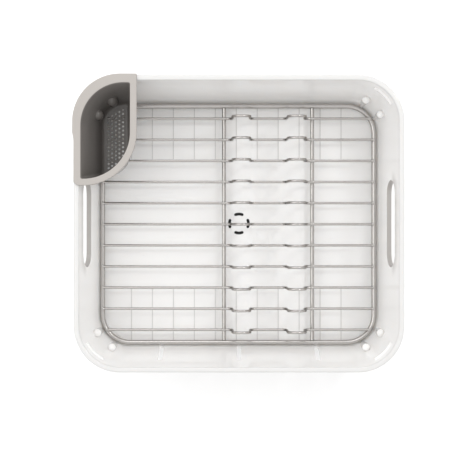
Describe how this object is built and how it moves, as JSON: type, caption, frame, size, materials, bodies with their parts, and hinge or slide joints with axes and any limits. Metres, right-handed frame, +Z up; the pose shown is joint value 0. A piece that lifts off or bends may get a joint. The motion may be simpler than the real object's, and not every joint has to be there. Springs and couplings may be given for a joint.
{
  "type": "dish drying rack",
  "caption": "Countertop dish drying rack: a white moulded tub with a lift-out wire rack with plate humps, a hooked cutlery caddy and a floor drain.",
  "frame": {"origin": "on the surface that the feet stand on, under the middle of the tub; the caddy's hooked flange reaches 1.5 mm past the tub at the left and the back", "axes": "+Z up, +Y to the back, where the caddy hooks on, +X to the right along the tub's longer side"},
  "size_m": [0.3825, 0.3442, 0.1125],
  "materials": {
    "tub_plastic": "smooth glossy moulded plastic, warm white",
    "caddy_plastic": "satin moulded plastic, warm grey",
    "nickel_wire": "satin nickel plate over drawn steel wire",
    "foot_rubber": "soft grey rubber",
    "stopper_rubber": "soft black rubber"
  },
  "bodies": {
    "tub": {"tub": "tub_plastic", "foot_front_left": "foot_rubber", "foot_front_right": "foot_rubber", "foot_back_right": "foot_rubber", "foot_back_left": "foot_rubber"},
    "wire_rack": {"rack_frame_wire": "nickel_wire", "long_wire_left": "nickel_wire", "long_wire_right": "nickel_wire", "cross_wire_01": "nickel_wire", "cross_wire_02": "nickel_wire", "cross_wire_03": "nickel_wire", "cross_wire_04": "nickel_wire", "cross_wire_05": "nickel_wire", "cross_wire_06": "nickel_wire", "cross_wire_07": "nickel_wire", "cross_wire_08": "nickel_wire", "cross_wire_09": "nickel_wire", "cross_wire_10": "nickel_wire", "cross_wire_11": "nickel_wire"},
    "caddy": {"utensil_caddy": "caddy_plastic"},
    "stopper": {"drain_stopper": "stopper_rubber"}
  },
  "joints": [
    {"name": "rack_lift", "type": "slide", "parent": "tub", "child": "wire_rack", "axis": [0, 0, 1], "range_m": [0, 0.14]},
    {"name": "caddy_lift", "type": "slide", "parent": "wire_rack", "child": "caddy", "axis": [0, 0, 1], "range_m": [0, 0.12]},
    {"name": "stopper_pull", "type": "slide", "parent": "tub", "child": "stopper", "axis": [0, 0, -1], "range_m": [0, 0.008]}
  ]
}
